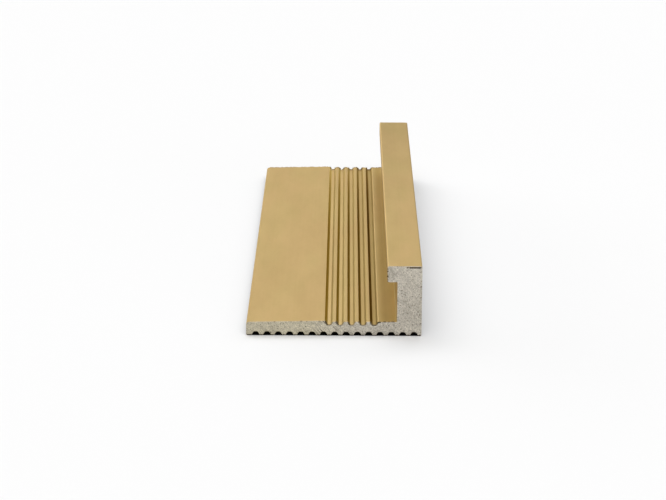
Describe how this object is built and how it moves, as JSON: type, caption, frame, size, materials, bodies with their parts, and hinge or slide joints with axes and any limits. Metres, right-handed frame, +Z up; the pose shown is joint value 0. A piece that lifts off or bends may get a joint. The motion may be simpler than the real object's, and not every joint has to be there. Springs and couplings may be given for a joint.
{
  "type": "tile edge trim",
  "caption": "Straight aluminium tile edge trim: a leg grooved on top and ribbed below, and an upright whose lipped head closes the tile's edge.",
  "frame": {"origin": "middle of the footprint, on the plane of the rib tips under the leg", "axes": "+X across the section from the leg's free edge towards the outer face, +Y along the length, +Z up towards the head's finished surface"},
  "size_m": [0.03, 0.1, 0.0125],
  "materials": {
    "gold_anodised": "satin gold anodised, with bare sawn ends"
  },
  "bodies": {
    "root": {"edge_trim": "gold_anodised"}
  },
  "joints": []
}
